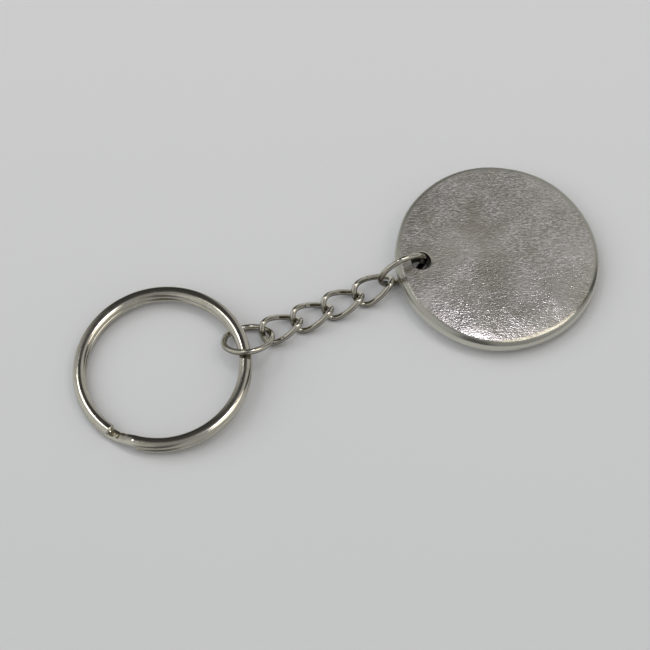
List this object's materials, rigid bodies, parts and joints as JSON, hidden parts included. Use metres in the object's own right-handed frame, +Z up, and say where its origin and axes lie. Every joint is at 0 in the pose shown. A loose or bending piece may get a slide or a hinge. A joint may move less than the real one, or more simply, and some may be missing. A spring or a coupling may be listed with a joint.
{
  "type": "keychain",
  "caption": "Keychain: a plain round metal tag on a jump ring and a short curb chain, joined by a second jump ring to a flat-wire split key ring.",
  "frame": {"origin": "on the table, under the middle of the bounding box of the keychain lying stretched out", "axes": "+X from the split ring to the tag, +Z up off the table, +Y across the row"},
  "size_m": [0.0926, 0.035, 0.0093],
  "materials": {
    "nickel": "polished",
    "pewter": "satin"
  },
  "bodies": {
    "split_ring": {"split_ring": "nickel"},
    "ring_jump_ring": {"ring_jump_ring": "nickel"},
    "chain_link_1": {"chain_link_1": "nickel"},
    "chain_link_2": {"chain_link_2": "nickel"},
    "chain_link_3": {"chain_link_3": "nickel"},
    "chain_link_4": {"chain_link_4": "nickel"},
    "tag_jump_ring": {"tag_jump_ring": "nickel"},
    "tag_disc": {"tag_disc": "pewter"}
  },
  "joints": [
    {"name": "tag_swing", "type": "hinge", "parent": "tag_disc", "child": "tag_jump_ring", "pos_m": [0.01245, 0.0025, 0.00465], "axis": [-0.1044, 0.9932, 0.0523], "range_deg": [-12, 105]},
    {"name": "link_4_swing", "type": "hinge", "parent": "tag_jump_ring", "child": "chain_link_4", "pos_m": [0.00951, 0.00234, 0.00179], "axis": [0.6898, 0.1102, -0.7155], "range_deg": [-45, 45]},
    {"name": "link_3_swing", "type": "hinge", "parent": "chain_link_4", "child": "chain_link_3", "pos_m": [0.00373, 0.00163, 0.00177], "axis": [0.1941, -0.78, -0.5949], "range_deg": [-45, 45]},
    {"name": "link_2_swing", "type": "hinge", "parent": "chain_link_3", "child": "chain_link_2", "pos_m": [-0.00205, 0.0013, 0.00174], "axis": [0.082, -0.8258, -0.558], "range_deg": [-45, 45]},
    {"name": "link_1_swing", "type": "hinge", "parent": "chain_link_2", "child": "chain_link_1", "pos_m": [-0.00778, 0.0008, 0.0018], "axis": [0.0723, -0.8266, -0.5581], "range_deg": [-45, 45]},
    {"name": "ring_jump_ring_swing", "type": "hinge", "parent": "chain_link_1", "child": "ring_jump_ring", "pos_m": [-0.0135, 0.00024, 0.00222], "axis": [0.0674, -0.8273, -0.5578], "range_deg": [-25, 25]},
    {"name": "split_ring_turn", "type": "hinge", "parent": "ring_jump_ring", "child": "split_ring", "pos_m": [-0.0313, 0, 0.0023], "axis": [-0.0689, 0.0109, 0.9976], "continuous": true}
  ]
}
